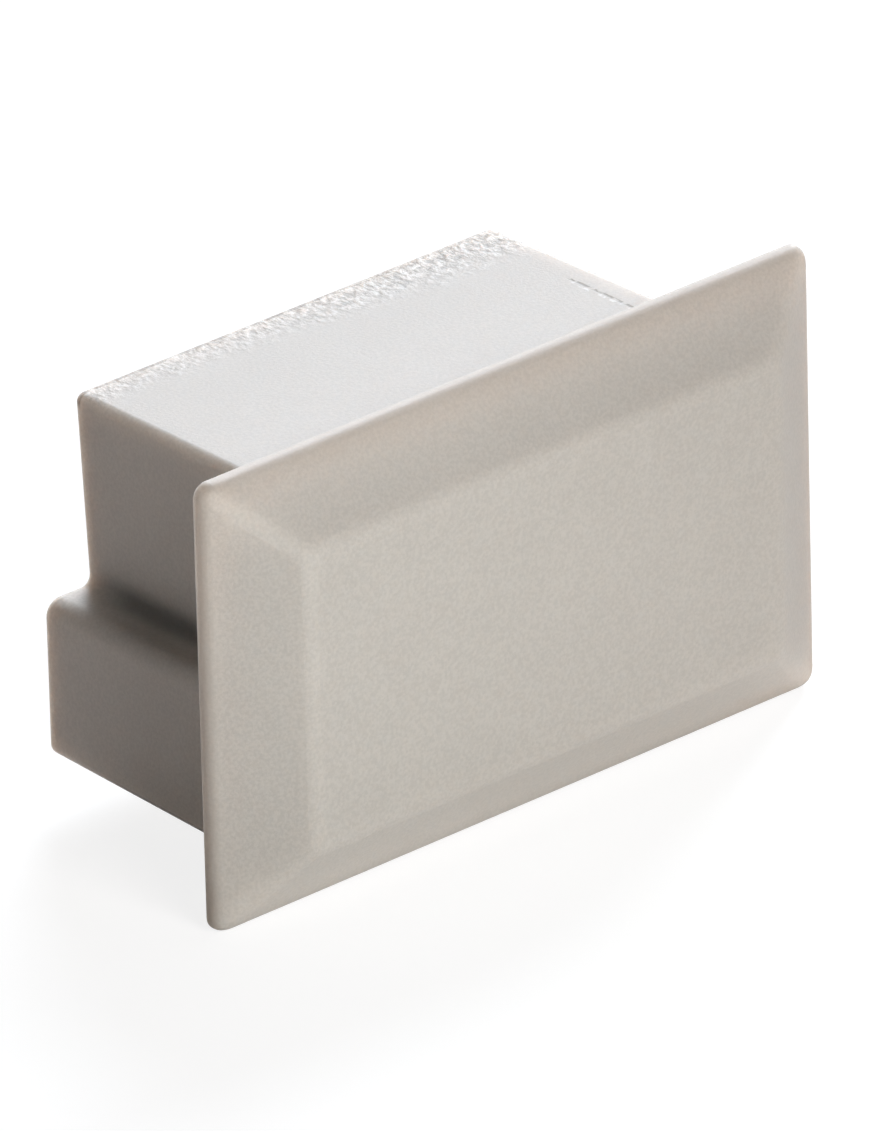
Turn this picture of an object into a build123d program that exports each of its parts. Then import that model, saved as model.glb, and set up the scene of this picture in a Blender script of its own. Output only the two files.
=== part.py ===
from build123d import *
import math
import os

# Profile end cap, moulded in one piece. A thin flange covers the cut end of an aluminium profile,
# a bevelled face stands proud of the flange, and a stepped plug behind it fills the profile's channel.
#
# Frame: X runs across the profile, +Y into it and +Z up. The origin is the middle of the seating face,
# the side of the flange that meets the profile's cut end. Everything is in millimetres and degrees.

# ---- Flange: the thin plate with the profile's own outline
flange_width = 24.6
flange_height = 15.1
flange_thickness = 0.45
flange_corner_radius = 0.5

# ---- Face: four mitred bevels that rise from the flange to a flat panel
side_bevel_width = 2.75
top_bevel_width = 2.5
face_rise = 1.7
panel_corner_radius = 0.45

# ---- Profile that the cap closes: the walls around its channel, which set the plug's section
profile_top_wall = 1.4
profile_floor = 1.4
profile_upper_side_wall = 3.5
profile_lower_side_wall = 2.0
lower_channel_height = 5.75
fit_clearance = 0.1

# ---- Plug: how far it reaches into the channel, and the slopes of its walls
plug_depth = 10.0
mould_draft = 0.9
upper_flank_lean = 2.6

# ---- Rounded edges
panel_edge_radius = 1.0
rim_front_radius = 0.45
rim_back_radius = 0.08
plug_root_radius = 0.08
plug_edge_radius = 0.3
ledge_edge_radius = 0.6
plug_rear_radius = 0.3

# Two points closer than this are the same place
same_place = 1e-6

# The flange and the face grow from the seating face towards the front, and the plug towards the rear.
# Both planes have Z as their own upward direction.
to_front = Plane(origin=(0, 0, 0), x_dir=(1, 0, 0), z_dir=(0, -1, 0))
to_rear = Plane(origin=(0, 0, 0), x_dir=(-1, 0, 0), z_dir=(0, 1, 0))


def flat_faces_along_y(cap):
    """The panel, the seating face and the plug's rear, from front to rear."""
    return cap.faces().filter_by(Axis.Y).sort_by(Axis.Y)


def flange():
    """The plate, with the round corners of the profile's outline."""
    outline = RectangleRounded(flange_width, flange_height, flange_corner_radius)
    return to_front * extrude(outline, amount=flange_thickness)


def bevelled_face():
    """The raised front: a ruled loft from the flange's outline to the smaller flat panel."""
    panel_width = flange_width - 2 * side_bevel_width
    panel_height = flange_height - 2 * top_bevel_width
    foot = RectangleRounded(flange_width, flange_height, flange_corner_radius)
    panel = RectangleRounded(panel_width, panel_height, panel_corner_radius)
    foot_plane = to_front.offset(flange_thickness)
    panel_plane = to_front.offset(flange_thickness + face_rise)
    return loft([foot_plane * foot, panel_plane * panel], ruled=True)


def plug_section(inset):
    """The plug's outline: a wide lower block under a narrower upper one, drawn in by the inset."""
    bottom = -flange_height / 2 + profile_floor + fit_clearance + inset
    ledge = -flange_height / 2 + profile_floor + lower_channel_height - fit_clearance - inset
    top = flange_height / 2 - profile_top_wall - fit_clearance - inset
    lower_x = flange_width / 2 - profile_lower_side_wall - fit_clearance - inset
    upper_x = flange_width / 2 - profile_upper_side_wall - fit_clearance - inset
    foot_x = upper_x - (top - ledge) * math.tan(math.radians(upper_flank_lean))
    right = [(lower_x, bottom), (lower_x, ledge), (foot_x, ledge), (upper_x, top)]
    left = [(-x, z) for x, z in reversed(right)]
    return make_face(Polyline(*right, *left, close=True))


def long_edges(plug_body):
    """The plug's edges from root to rear, with the outer edge of each ledge apart from the others."""
    root, rear = flat_faces_along_y(plug_body)
    end_edges = root.edges() + rear.edges()
    ledge_z = -flange_height / 2 + profile_floor + lower_channel_height - fit_clearance
    ledge_x = flange_width / 2 - profile_upper_side_wall
    low_z = ledge_z - lower_channel_height / 2
    others = []
    ledges = []
    for edge in plug_body.edges():
        if edge in end_edges:
            continue
        middle = edge.center()
        if abs(middle.X) > ledge_x and low_z < middle.Z < ledge_z + fit_clearance:
            ledges.append(edge)
        else:
            others.append(edge)
    return others, ledges


def plug():
    """The outline drawn into the channel with mould draft on every wall, its edges rounded."""
    draft_inset = plug_depth * math.tan(math.radians(mould_draft))
    rear_plane = to_rear.offset(plug_depth)
    body = loft([to_rear * plug_section(0), rear_plane * plug_section(draft_inset)], ruled=True)
    other_edges, ledge_edges = long_edges(body)
    body = fillet(other_edges, plug_edge_radius)
    body = fillet(long_edges(body)[1], ledge_edge_radius)
    return fillet(flat_faces_along_y(body)[-1].edges(), plug_rear_radius)


def round_front(cap):
    """Soft edges round the panel and along the flange's front edge."""
    panel = flat_faces_along_y(cap)[0]
    cap = fillet(panel.edges(), panel_edge_radius)
    rim_y = -flange_thickness
    rim = cap.edges().filter_by_position(Axis.Y, rim_y - same_place, rim_y + same_place)
    return fillet(rim, rim_front_radius)


def round_seat(cap):
    """The seating face: its outer edge is eased, and the plug's root has a small radius."""
    seat = flat_faces_along_y(cap)[1]
    cap = fillet(seat.outer_wire().edges(), rim_back_radius)
    seat = flat_faces_along_y(cap)[1]
    return fillet(seat.inner_wires()[0].edges(), plug_root_radius)


end_cap = round_front(flange() + bevelled_face())
end_cap = round_seat(end_cap + plug())
end_cap.label = "end_cap"

os.makedirs("parts", exist_ok=True)
export_step(end_cap, "parts/end_cap.step")
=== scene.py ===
import math

import bpy
from bpy.props import FloatProperty, FloatVectorProperty, PointerProperty
from mathutils import Matrix, Vector


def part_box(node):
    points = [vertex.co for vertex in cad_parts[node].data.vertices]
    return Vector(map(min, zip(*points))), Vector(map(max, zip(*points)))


bl_info = {
    "name": "Profile End Cap",
    "version": (1, 0, 0),
    "blender": (4, 5, 0),
    "location": "3D View > Sidebar > End Cap",
    "description": "Finishes a moulded end cap for an aluminium profile and sets it in a small studio",
    "category": "Object",
}

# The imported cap. It is one moulded piece, so one node on one body.
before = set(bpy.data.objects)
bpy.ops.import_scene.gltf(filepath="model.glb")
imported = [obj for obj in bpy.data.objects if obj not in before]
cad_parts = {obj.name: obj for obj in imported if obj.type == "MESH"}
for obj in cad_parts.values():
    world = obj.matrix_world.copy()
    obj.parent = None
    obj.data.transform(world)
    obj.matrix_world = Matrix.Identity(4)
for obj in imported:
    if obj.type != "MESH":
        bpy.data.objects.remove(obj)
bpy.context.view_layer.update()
CAP = "end_cap"
CAP_LOW, CAP_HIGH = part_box(CAP)
CAP_MIDDLE = (CAP_LOW + CAP_HIGH) / 2

MM = 0.001

# Where the plug steps in above its ledges, measured from the middle of the cap
CORNER_OUT = 8.42 * MM
CORNER_UP = -0.5 * MM

# The plug's underside next to the flange, measured the same way, and the angle at which it rises behind
PLUG_BOTTOM = -6.05 * MM
MOULD_DRAFT = math.radians(0.9)

# Colours that don't follow the plastic's own: painted shade on the flange's rim, painted glints on the
# band's lumps, and the seam's pale chips
RIM_SHADE_COLOUR = (0.43, 0.385, 0.34)
GLINT_PAINT_COLOUR = (0.76, 0.73, 0.7)
CHIP_COLOUR = (0.85, 0.85, 0.85)

# The darkest and the palest shade of the plastic, as shares of its colour, and how far the painted light
# level with the flange's top and bottom edges moves it from the one towards the other
SHADE_RANGE = (0.8, 1.2)
END_PAINTED_LIGHT = 0.36

# How roughness varies from grain to grain, what the band takes away and what the inner corners add
ROUGHNESS_SPREAD = 0.05
BAND_SMOOTHING = 0.06
CORNER_ROUGHENING = 0.35

# How the plastic bends and mirrors light, how far red, green and blue spread inside it, and the share
# of its translucency that is left at the very rim
PLASTIC_IOR = 1.49
SPECULAR_LEVEL = 0.3
SCATTER_REACH = (1.0, 0.85, 0.75)
RIM_TRANSLUCENCY = 0.45

# The depth of the seam, how far it sways from side to side, and how far its pale chips lie beside it
SEAM_DEPTH = 0.02 * MM
SEAM_SWAY = 0.16 * MM
CHIP_SHIFT = -0.11 * MM

# The floor is darker, and glows, where the camera or a reflection sees it
FLOOR_COLOUR = (0.75, 0.69, 0.65)
FLOOR_SEEN_COLOUR = (0.25, 0.25, 0.25)
FLOOR_GLOW = 0.83
FLOOR_HALF_WIDTH = 4.0
FLOOR_GAP = 0.02 * MM
WHITE = (1, 1, 1, 1)

# The camera's angles are in degrees, and what it aims at is measured from the middle of the cap
CAMERA_AZIMUTH = -40.731
CAMERA_ELEVATION = 26.418
CAMERA_ROLL = -1.5
CAMERA_AIM = Vector((0.154, -0.556, -0.645)) * MM
CAMERA_CLIP = (0.01, 100)
SENSOR_WIDTH = 36

LOW_LIGHT_PLACE = Vector((-13, -48, -1)) * MM
LOW_LIGHT_SIZE = 12 * MM
LOW_LIGHT_COLOUR = (0.87, 0.97, 1.0)


# ---------------------------------------------------------------- settings


class EndCapFinish(bpy.types.PropertyGroup):
    """The moulded plastic: its colour, how far light goes into it, and the marks of its mould."""

    plastic_colour: FloatVectorProperty(
        name="Plastic colour",
        description="Warm light grey of the moulding",
        subtype="COLOR",
        size=3,
        min=0,
        max=1,
        default=(0.492, 0.459, 0.421),
    )
    mottling: FloatProperty(
        name="Mottling",
        description="How much the plastic's shade varies from place to place",
        subtype="FACTOR",
        min=0,
        max=1,
        default=0.18,
    )
    grain_contrast: FloatProperty(
        name="Grain contrast",
        description="How much the shade varies from grain to grain",
        subtype="FACTOR",
        min=0,
        max=1,
        default=0.3,
    )
    roughness: FloatProperty(
        name="Roughness",
        description="Roughness of the moulded surface",
        subtype="FACTOR",
        min=0,
        max=1,
        default=0.55,
    )
    translucency: FloatProperty(
        name="Translucency",
        description="Share of the light that goes into the plastic and comes out beside where it went in",
        subtype="FACTOR",
        min=0,
        max=1,
        default=1.0,
    )
    scatter_depth: FloatProperty(
        name="Scatter depth",
        description="How far light spreads inside the plastic",
        unit="LENGTH",
        min=0,
        default=1.5 * MM,
    )
    grain_size: FloatProperty(
        name="Grain size",
        description="Width of the grains that the mould leaves on every face",
        unit="LENGTH",
        min=0.01 * MM,
        default=0.11 * MM,
    )
    grain_height: FloatProperty(
        name="Grain height",
        description="Height of those grains",
        unit="LENGTH",
        min=0,
        default=0.008 * MM,
    )
    scuff_width: FloatProperty(
        name="Scuff width",
        description="Width of the rough, glinting band along the rear edge of the plug's top",
        unit="LENGTH",
        min=0,
        default=2.7 * MM,
    )
    scuff_height: FloatProperty(
        name="Scuff height",
        description="Height of the lumps in that band",
        unit="LENGTH",
        min=0,
        default=0.1 * MM,
    )
    seam_offset: FloatProperty(
        name="Seam offset",
        description="From the middle of the cap to the fine broken seam along the plug's top",
        unit="LENGTH",
        min=0,
        default=7.56 * MM,
    )


class EndCapStudio(bpy.types.PropertyGroup):
    """The camera, the lamps and the floor."""

    camera_distance: FloatProperty(
        name="Camera distance",
        description="From the camera to the point near the middle of the cap that it aims at",
        unit="LENGTH",
        default=577.63 * MM,
    )
    focal_length: FloatProperty(
        name="Focal length",
        description="Focal length of the camera, in millimetres",
        default=599.3,
    )
    ambient: FloatProperty(
        name="Ambient light",
        description="Light that reaches the cap from all round",
        min=0,
        default=0.008,
    )
    key_strength: FloatProperty(
        name="Key light",
        description="Strength of the soft light behind and above the cap, on its right",
        min=0,
        default=1.42,
    )
    front_strength: FloatProperty(
        name="Front light",
        description="Strength of the soft light in front of the cap",
        min=0,
        default=0.445,
    )
    rear_strength: FloatProperty(
        name="Rear light",
        description="Strength of the soft light low behind the cap",
        min=0,
        default=0.27,
    )
    low_power: FloatProperty(
        name="Low light",
        description="Power of the small lamp low in front of the cap, on its left",
        unit="POWER",
        min=0,
        default=0.0098,
    )


# ---------------------------------------------------------------- node helpers


def empty_tree(owner):
    """The node tree of a material or a world, with nothing in it."""
    owner.use_nodes = True
    owner.node_tree.nodes.clear()
    return owner.node_tree


def feed(tree, value, socket):
    """Links a socket to a node's output, or sets it to a plain value."""
    if isinstance(value, bpy.types.NodeSocket):
        tree.links.new(value, socket)
    else:
        socket.default_value = value


def add_node(tree, kind, **sockets):
    """A node of that kind, with values or links for the sockets named."""
    node = tree.nodes.new(kind)
    for name, value in sockets.items():
        feed(tree, value, node.inputs[name.replace("_", " ")])
    return node


def maths(tree, operation, a, b=0.0):
    """The output of a Math node."""
    node = tree.nodes.new("ShaderNodeMath")
    node.operation = operation
    feed(tree, a, node.inputs[0])
    feed(tree, b, node.inputs[1])
    return node.outputs[0]


def product(tree, *factors):
    """All the factors multiplied together."""
    result = factors[0]
    for factor in factors[1:]:
        result = maths(tree, "MULTIPLY", result, factor)
    return result


def total(tree, *terms):
    """All the terms added together."""
    result = terms[0]
    for term in terms[1:]:
        result = maths(tree, "ADD", result, term)
    return result


def ramp_between(tree, value, start, end, low=0.0, high=1.0):
    """Goes smoothly from low to high as value goes from start to end."""
    node = tree.nodes.new("ShaderNodeMapRange")
    node.interpolation_type = "SMOOTHSTEP"
    sockets = {"Value": value, "From Min": start, "From Max": end, "To Min": low, "To Max": high}
    for name, setting in sockets.items():
        feed(tree, setting, node.inputs[name])
    return node.outputs["Result"]


def near(tree, value, centre, half_width, softness):
    """1 where value lies within half_width of the centre, falling to 0 over the softness."""
    distance = maths(tree, "ABSOLUTE", maths(tree, "SUBTRACT", value, centre))
    return ramp_between(tree, distance, half_width, half_width + softness, low=1.0, high=0.0)


def speckle(tree, place, size, detail=2.0, roughness=0.5):
    """Noise whose lumps are about that wide."""
    node = tree.nodes.new("ShaderNodeTexNoise")
    feed(tree, place, node.inputs["Vector"])
    node.inputs["Scale"].default_value = 1.0 / size
    node.inputs["Detail"].default_value = detail
    node.inputs["Roughness"].default_value = roughness
    return node.outputs["Fac"]


def blend(tree, amount, first, second):
    """Goes from the first colour to the second as amount goes from 0 to 1."""
    node = tree.nodes.new("ShaderNodeMix")
    node.data_type = "RGBA"
    feed(tree, amount, node.inputs[0])
    for value, socket in ((first, node.inputs[6]), (second, node.inputs[7])):
        feed(tree, (*value, 1) if isinstance(value, tuple) else value, socket)
    return node.outputs[2]


def shaded(colour, factor):
    """The colour made lighter or darker by a factor."""
    return tuple(min(1.0, part * factor) for part in colour)


def seen_directly(tree):
    """1 for what the camera, a reflection or a clear body shows, and 0 for what lights the cap."""
    path = tree.nodes.new("ShaderNodeLightPath")
    seen = maths(tree, "MAXIMUM", path.outputs["Is Camera Ray"], path.outputs["Is Glossy Ray"])
    return maths(tree, "MAXIMUM", seen, path.outputs["Is Transmission Ray"])


# ---------------------------------------------------------------- places on the cap


def off_middle(tree, place, axis):
    """How far a point lies from the middle of the cap along the X or the Z axis, in metres."""
    middle = CAP_MIDDLE.x if axis == "X" else CAP_MIDDLE.z
    return maths(tree, "ABSOLUTE", maths(tree, "SUBTRACT", place[axis], middle))


def from_end(tree, place):
    """How far a point lies from the level of the flange's top or bottom edge, in metres."""
    return maths(tree, "SUBTRACT", CAP_HIGH.z - CAP_MIDDLE.z, off_middle(tree, place, "Z"))


def from_rear(tree, place):
    """How far a point lies in front of the plug's rear, in metres."""
    return maths(tree, "SUBTRACT", CAP_HIGH.y, place["Y"])


def outline_distance(tree, place):
    """How far a point of the front lies inside the flange's outline, in metres."""
    from_side = maths(tree, "SUBTRACT", CAP_HIGH.x - CAP_MIDDLE.x, off_middle(tree, place, "X"))
    return maths(tree, "MINIMUM", from_side, from_end(tree, place))


def on_plug(tree, place):
    """1 behind the flange and 0 in front of its rear face."""
    return ramp_between(tree, place["Y"], 0.0, 0.1 * MM)


def plug_top(tree, place, facing):
    """1 on the plug's top face and 0 elsewhere."""
    upward = ramp_between(tree, facing["Z"], 0.6, 0.95)
    clear_of_flange = ramp_between(tree, place["Y"], 0.05 * MM, 0.15 * MM)
    upper_block = ramp_between(tree, place["Z"], CAP_MIDDLE.z + 3 * MM, CAP_MIDDLE.z + 4 * MM)
    return product(tree, upward, clear_of_flange, upper_block)


def corner_shade_mask(tree, place):
    """1 in the inner corners where the upper block stands on the ledges, fading out from them. Shade is
    painted there.
    """
    sideways = maths(tree, "SUBTRACT", off_middle(tree, place, "X"), CORNER_OUT)
    upward = maths(tree, "SUBTRACT", place["Z"], CAP_MIDDLE.z + CORNER_UP)
    squares = total(tree, product(tree, sideways, sideways), product(tree, upward, upward))
    distance = maths(tree, "SQRT", squares)
    near_corner = ramp_between(tree, distance, 0.1 * MM, 0.75 * MM, low=1.0, high=0.0)
    fade_start, fade_end = CAP_HIGH.y - 2.5 * MM, CAP_HIGH.y - 0.8 * MM
    short_of_rear = ramp_between(tree, place["Y"], fade_start, fade_end, low=1.0, high=0.0)
    return product(tree, near_corner, on_plug(tree, place), short_of_rear)


# ---------------------------------------------------------------- marks of the mould, and painted shade


def scuffed_band(tree, finish, point, place, on_top):
    """From 1 at the rear edge of the plug's top down to 0. It fades out raggedly, sooner on the left."""
    patches = speckle(tree, point, size=0.9 * MM, detail=4.0, roughness=0.7)
    ragged = product(tree, patches, 1.6 * MM)
    edge = total(tree, maths(tree, "SUBTRACT", from_rear(tree, place), 0.8 * MM), ragged)
    side = ramp_between(tree, place["X"], -6 * MM, 7 * MM, low=0.6, high=1.0)
    reach = maths(tree, "DIVIDE", edge, side)
    inside = ramp_between(tree, reach, 0.3 * finish.scuff_width, finish.scuff_width, low=1.0, high=0.0)
    return product(tree, inside, side, on_top)


def rear_edge_shade(tree, point, place):
    """1 along the dark, uneven line of painted shade on the rear edge of the plug's top, which fades on the
    right.
    """
    line = near(tree, from_rear(tree, place), centre=0.22 * MM, half_width=0.09 * MM, softness=0.06 * MM)
    on_edge = ramp_between(tree, place["Z"], CAP_MIDDLE.z + 5.4 * MM, CAP_MIDDLE.z + 5.6 * MM)
    left = ramp_between(tree, place["X"], 2 * MM, 7 * MM, low=1.0, high=0.3)
    uneven = ramp_between(tree, speckle(tree, point, size=0.5 * MM, detail=3.0), 0.3, 0.6)
    return product(tree, line, on_edge, left, uneven)


def lower_edge_shade(tree, place):
    """1 along the dark line of painted shade where the plug's sides meet its underside, fading towards the
    rear.
    """
    rise = product(tree, place["Y"], math.tan(MOULD_DRAFT))
    level = maths(tree, "SUBTRACT", place["Z"], rise)
    height = maths(tree, "SUBTRACT", level, CAP_MIDDLE.z + PLUG_BOTTOM)
    line = near(tree, height, centre=0.13 * MM, half_width=0.07 * MM, softness=0.08 * MM)
    fading = ramp_between(tree, place["Y"], 5 * MM, 9 * MM, low=1.0, high=0.0)
    return product(tree, line, on_plug(tree, place), fading)


def seam_line(tree, finish, point, place, on_top, shift=0.0):
    """1 along the fine seam near the right side of the plug's top, or beside it by the shift."""
    waver = product(tree, speckle(tree, point, size=0.9 * MM), SEAM_SWAY)
    across = total(tree, place["X"], maths(tree, "SUBTRACT", waver, SEAM_SWAY / 2))
    line = near(tree, across, finish.seam_offset + shift, half_width=0.02 * MM, softness=0.07 * MM)
    length = near(tree, place["Y"], centre=3.75 * MM, half_width=1.5 * MM, softness=0.3 * MM)
    return product(tree, line, length, on_top)


def mould_marks_and_painted_shade(tree, finish):
    """The marks by name: noise, strengths from 0 to 1, and two distances in metres. Those in the inner
    corners and along the edges are painted shade.
    """
    coordinates = tree.nodes.new("ShaderNodeTexCoord")
    point = coordinates.outputs["Object"]
    place = add_node(tree, "ShaderNodeSeparateXYZ", Vector=point).outputs
    facing = add_node(tree, "ShaderNodeSeparateXYZ", Vector=coordinates.outputs["Normal"]).outputs
    on_top = plug_top(tree, place, facing)
    breaks = speckle(tree, point, size=0.3 * MM)
    seam = seam_line(tree, finish, point, place, on_top)
    chips = seam_line(tree, finish, point, place, on_top, shift=CHIP_SHIFT)
    drawn_out = add_node(tree, "ShaderNodeMapping", Vector=point, Scale=(1.0, 0.6, 1.0)).outputs[0]
    return {
        "grain": speckle(tree, point, finish.grain_size, roughness=0.6),
        "clouds": speckle(tree, point, size=2.2 * MM, detail=3.0, roughness=0.6),
        "lumps": speckle(tree, drawn_out, size=0.21 * MM, detail=3.0, roughness=0.6),
        "band": scuffed_band(tree, finish, point, place, on_top),
        "seam": product(tree, seam, ramp_between(tree, breaks, 0.4, 0.55)),
        "chips": product(tree, chips, ramp_between(tree, breaks, 0.5, 0.42)),
        # Painted shade in the inner corners
        "corner_shade": corner_shade_mask(tree, place),
        # Painted shade along the rear and lower edges of the plug
        "edge": maths(tree, "MAXIMUM", rear_edge_shade(tree, point, place), lower_edge_shade(tree, place)),
        "from_end": from_end(tree, place),
        "inset": outline_distance(tree, place),
    }


# ---------------------------------------------------------------- the plastic


def surface_colour(tree, finish, marks):
    """Soft clouds and fine grain with painted light level with the flange's top and bottom edges, under the
    marks, painted shade and painted glints.
    """
    colour = tuple(finish.plastic_colour)
    # Painted light: paler level with the flange's top and bottom edges, though not at the flange's very
    # outline
    painted_end_light = ramp_between(tree, marks["from_end"], 0.2 * MM, 2.9 * MM, low=1.0, high=0.0)
    painted_end_light = product(tree, painted_end_light, ramp_between(tree, marks["inset"], 0.0, 0.8 * MM))
    shade = total(
        tree,
        product(tree, marks["clouds"], finish.mottling),
        product(tree, ramp_between(tree, marks["grain"], 0.3, 0.7), finish.grain_contrast),
        product(tree, painted_end_light, END_PAINTED_LIGHT),
        0.5 * (1 - finish.mottling - finish.grain_contrast),
    )
    darkest, palest = SHADE_RANGE
    surface = blend(tree, shade, shaded(colour, darkest), shaded(colour, palest))
    # Painted shade: darker and warmer towards the rim colour along the flange's outline, where the rim
    # catches the light
    rim = ramp_between(tree, marks["inset"], 0.0, 0.35 * MM, low=1.0, high=0.0)
    # Painted glints on the tops of the band's lumps, and painted shade in the hollows between them
    painted_glints = product(tree, ramp_between(tree, marks["lumps"], 0.52, 0.57), marks["band"])
    painted_hollow_shade = product(tree, ramp_between(tree, marks["lumps"], 0.47, 0.41), marks["band"])

    # Each layer: where it lies, how strongly it covers the ones below, and its colour
    # Painted shade: the layers in the inner corners, on the rim, on the dark flecks and along the edges.
    # Painted glints: the pale flecks.
    layers = (
        (marks["corner_shade"], 0.58, shaded(colour, 0.4)),
        (rim, 0.5, RIM_SHADE_COLOUR),
        (painted_glints, 0.7, GLINT_PAINT_COLOUR),
        (painted_hollow_shade, 0.5, shaded(colour, 0.5)),
        (marks["edge"], 0.75, shaded(colour, 0.45)),
        (marks["chips"], 0.5, CHIP_COLOUR),
        (marks["seam"], 0.45, shaded(colour, 0.4)),
    )
    for mark, cover, tone in layers:
        surface = blend(tree, product(tree, mark, cover), surface, tone)
    return surface


def surface_roughness(tree, finish, marks):
    """A little uneven, smoother in the band, where the lumps catch the light, and rough in the corners."""
    low, high = finish.roughness - ROUGHNESS_SPREAD, finish.roughness + ROUGHNESS_SPREAD
    return total(
        tree,
        ramp_between(tree, marks["grain"], 0.25, 0.75, low, high),
        product(tree, marks["band"], -BAND_SMOOTHING),
        product(tree, marks["corner_shade"], CORNER_ROUGHENING),
    )


def surface_relief(tree, finish, marks):
    """The height of the grain and of the band's lumps, less the seam's groove, in metres."""
    return total(
        tree,
        product(tree, marks["grain"], finish.grain_height),
        product(tree, marks["lumps"], marks["band"], finish.scuff_height),
        product(tree, marks["seam"], -SEAM_DEPTH),
    )


def moulded_plastic(finish):
    """Matte, slightly translucent plastic with the grain of its mould and a scuffed rear edge, with painted
    light, shade and glints in its colour.
    """
    material = bpy.data.materials.new("moulded_plastic")
    tree = empty_tree(material)
    marks = mould_marks_and_painted_shade(tree, finish)
    at_rim = RIM_TRANSLUCENCY * finish.translucency
    dense_rim = ramp_between(tree, marks["inset"], 0.0, 0.4 * MM, low=at_rim, high=finish.translucency)
    relief = surface_relief(tree, finish, marks)
    bump = add_node(tree, "ShaderNodeBump", Strength=1.0, Distance=1.0, Height=relief)
    shader = add_node(
        tree,
        "ShaderNodeBsdfPrincipled",
        Base_Color=surface_colour(tree, finish, marks),
        Roughness=surface_roughness(tree, finish, marks),
        IOR=PLASTIC_IOR,
        Specular_IOR_Level=SPECULAR_LEVEL,
        Subsurface_Weight=dense_rim,
        Subsurface_Radius=SCATTER_REACH,
        Subsurface_Scale=finish.scatter_depth,
        Normal=bump.outputs["Normal"],
    )
    add_node(tree, "ShaderNodeOutputMaterial", Surface=shader.outputs["BSDF"])
    return material


class ENDCAP_OT_finish(bpy.types.Operator):
    """Give the moulded cap its plastic"""

    bl_idname = "end_cap.finish"
    bl_label = "Finish Cap"

    def execute(self, context):
        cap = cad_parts[CAP]
        material = moulded_plastic(context.scene.end_cap_finish)
        for slot in cap.material_slots:
            slot.material = material
        return {"FINISHED"}


# ---------------------------------------------------------------- the studio


def add_object(name, data):
    """A new object in the scene."""
    holder = bpy.data.objects.new(name, data)
    bpy.context.scene.collection.objects.link(holder)
    return holder


def direction(azimuth, elevation):
    """The way from the cap to a lamp or the camera. Azimuth 0 is the front and 90 the right, in degrees."""
    a, e = math.radians(azimuth), math.radians(elevation)
    return Vector((math.sin(a) * math.cos(e), -math.cos(a) * math.cos(e), math.sin(e)))


def shine_from(lamp, way):
    """Turns a lamp so that it shines from that way."""
    lamp.rotation_mode = "QUATERNION"
    lamp.rotation_quaternion = way.to_track_quat("Z", "Y")


def add_sun(name, azimuth, elevation, spread, strength, colour):
    """A very soft lamp. Its angles and its spread are in degrees."""
    lamp = bpy.data.lights.new(name, "SUN")
    lamp.energy = strength * math.pi
    lamp.angle = math.radians(spread)
    lamp.color = colour
    shine_from(add_object(name, lamp), direction(azimuth, elevation))


def add_low_light(power):
    """A small panel of light, low in front of the cap and on its left."""
    lamp = bpy.data.lights.new("low_light", "AREA")
    lamp.energy = power
    lamp.size = LOW_LIGHT_SIZE
    lamp.color = LOW_LIGHT_COLOUR
    holder = add_object("low_light", lamp)
    holder.location = CAP_MIDDLE + LOW_LIGHT_PLACE
    holder.visible_camera = False
    shine_from(holder, holder.location - CAP_MIDDLE)


def add_camera(studio):
    """Looks at the cap from its left front, a little above."""
    camera = bpy.data.cameras.new("camera")
    camera.sensor_fit = "AUTO"
    camera.sensor_width = SENSOR_WIDTH
    camera.lens = studio.focal_length
    camera.clip_start, camera.clip_end = CAMERA_CLIP
    back = direction(CAMERA_AZIMUTH, CAMERA_ELEVATION)
    right = Vector((0, 0, 1)).cross(back).normalized()
    up = back.cross(right)
    roll = math.radians(CAMERA_ROLL)
    right_rolled = right * math.cos(roll) + up * math.sin(roll)
    up_rolled = up * math.cos(roll) - right * math.sin(roll)
    turn = Matrix((right_rolled, up_rolled, back)).transposed().to_4x4()
    place = CAP_MIDDLE + CAMERA_AIM + back * studio.camera_distance
    holder = add_object("camera", camera)
    holder.matrix_world = Matrix.Translation(place) @ turn
    bpy.context.scene.camera = holder


def floor_material():
    """Pale floor that looks white and keeps the cap's shadow. It can't be seen from below."""
    material = bpy.data.materials.new("studio_floor")
    tree = empty_tree(material)
    seen = seen_directly(tree)
    tint = blend(tree, seen, FLOOR_COLOUR, FLOOR_SEEN_COLOUR)
    diffuse = add_node(tree, "ShaderNodeBsdfDiffuse", Color=tint)
    glow = add_node(tree, "ShaderNodeEmission", Color=WHITE, Strength=product(tree, seen, FLOOR_GLOW))
    both = tree.nodes.new("ShaderNodeAddShader")
    feed(tree, diffuse.outputs[0], both.inputs[0])
    feed(tree, glow.outputs[0], both.inputs[1])
    clear = tree.nodes.new("ShaderNodeBsdfTransparent")
    one_way = tree.nodes.new("ShaderNodeMixShader")
    feed(tree, tree.nodes.new("ShaderNodeNewGeometry").outputs["Backfacing"], one_way.inputs[0])
    feed(tree, both.outputs[0], one_way.inputs[1])
    feed(tree, clear.outputs[0], one_way.inputs[2])
    add_node(tree, "ShaderNodeOutputMaterial", Surface=one_way.outputs[0])
    return material


def add_floor():
    """A wide flat floor just under the cap."""
    half = FLOOR_HALF_WIDTH
    corners = [(-half, -half, 0), (half, -half, 0), (half, half, 0), (-half, half, 0)]
    mesh = bpy.data.meshes.new("floor")
    mesh.from_pydata(corners, [], [(0, 1, 2, 3)])
    mesh.materials.append(floor_material())
    floor = add_object("floor", mesh)
    floor.location = (0, 0, CAP_LOW.z - FLOOR_GAP)


def light_world(ambient):
    """Soft light from all round, with a white backdrop."""
    world = bpy.data.worlds.new("studio")
    bpy.context.scene.world = world
    tree = empty_tree(world)
    strength = ramp_between(tree, seen_directly(tree), 0.0, 1.0, low=ambient, high=1.0)
    background = add_node(tree, "ShaderNodeBackground", Color=WHITE, Strength=strength)
    add_node(tree, "ShaderNodeOutputWorld", Surface=background.outputs[0])


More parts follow.
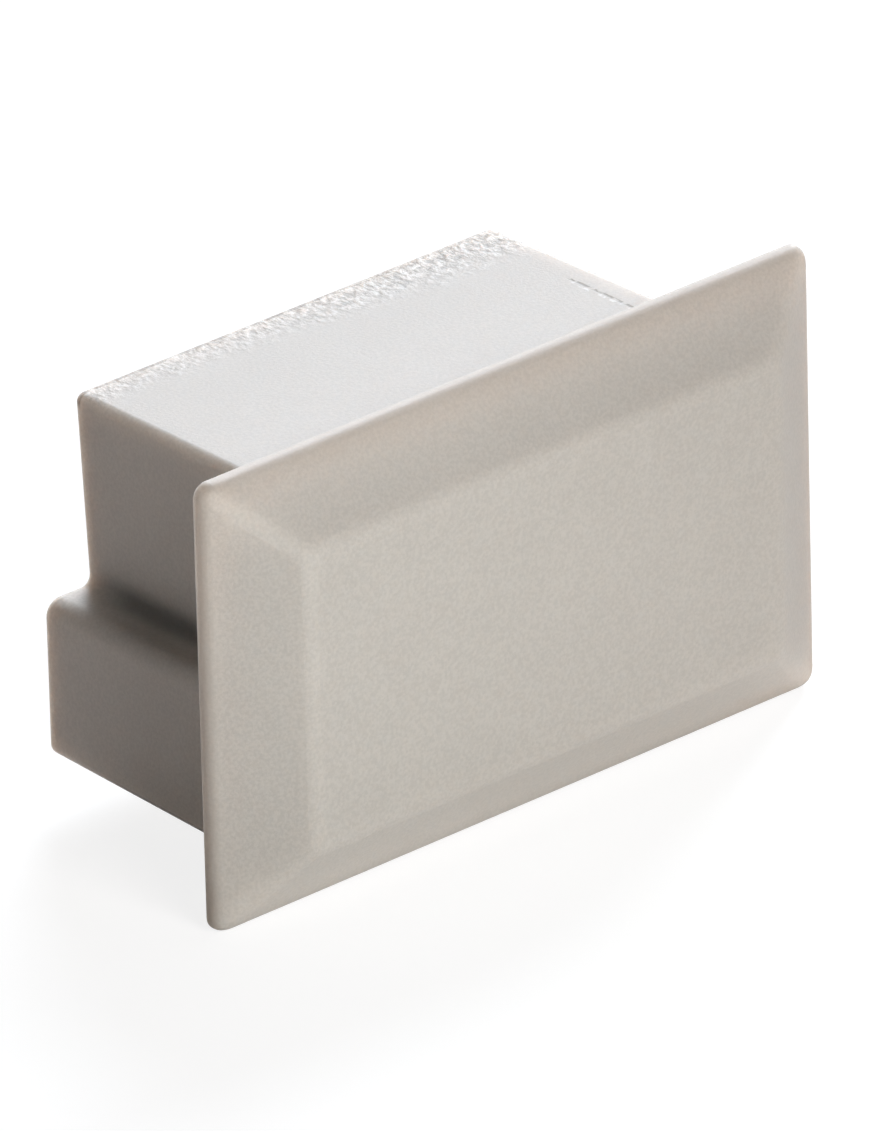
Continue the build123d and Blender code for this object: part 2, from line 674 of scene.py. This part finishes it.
class ENDCAP_OT_studio(bpy.types.Operator):
    """Set up the floor, the lamps and the camera"""

    bl_idname = "end_cap.studio"
    bl_label = "Set Up Studio"

    def execute(self, context):
        studio = context.scene.end_cap_studio
        context.scene.view_settings.view_transform = "Standard"
        add_floor()
        light_world(studio.ambient)
        add_sun(
            "key_light",
            azimuth=126,
            elevation=33,
            spread=30,
            strength=studio.key_strength,
            colour=(0.87, 0.925, 1.0),
        )
        add_sun(
            "front_light",
            azimuth=-6,
            elevation=37,
            spread=30,
            strength=studio.front_strength,
            colour=(1.0, 0.94, 0.9),
        )
        add_sun(
            "rear_light",
            azimuth=180,
            elevation=2,
            spread=10,
            strength=studio.rear_strength,
            colour=(1.0, 0.95, 0.9),
        )
        add_low_light(studio.low_power)
        add_camera(studio)
        return {"FINISHED"}


# ---------------------------------------------------------------- the add-on


class VIEW3D_PT_end_cap(bpy.types.Panel):
    """Shows the settings of the cap's finish and of the studio, each with its button"""

    bl_label = "End Cap"
    bl_space_type = "VIEW_3D"
    bl_region_type = "UI"
    bl_category = "End Cap"

    def draw(self, context):
        layout = self.layout
        for group, operator in (
            (context.scene.end_cap_finish, ENDCAP_OT_finish),
            (context.scene.end_cap_studio, ENDCAP_OT_studio),
        ):
            box = layout.box()
            for name in group.bl_rna.properties.keys():
                if name not in {"rna_type", "name"}:
                    box.prop(group, name)
            box.operator(operator.bl_idname)


CLASSES = (EndCapFinish, EndCapStudio, ENDCAP_OT_finish, ENDCAP_OT_studio, VIEW3D_PT_end_cap)


def register():
    for cls in CLASSES:
        bpy.utils.register_class(cls)
    bpy.types.Scene.end_cap_finish = PointerProperty(type=EndCapFinish)
    bpy.types.Scene.end_cap_studio = PointerProperty(type=EndCapStudio)


def unregister():
    del bpy.types.Scene.end_cap_studio
    del bpy.types.Scene.end_cap_finish
    for cls in reversed(CLASSES):
        bpy.utils.unregister_class(cls)


def main():
    """Makes the whole scene."""
    register()
    bpy.ops.end_cap.finish()
    bpy.ops.end_cap.studio()


if __name__ == "__main__":
    main()
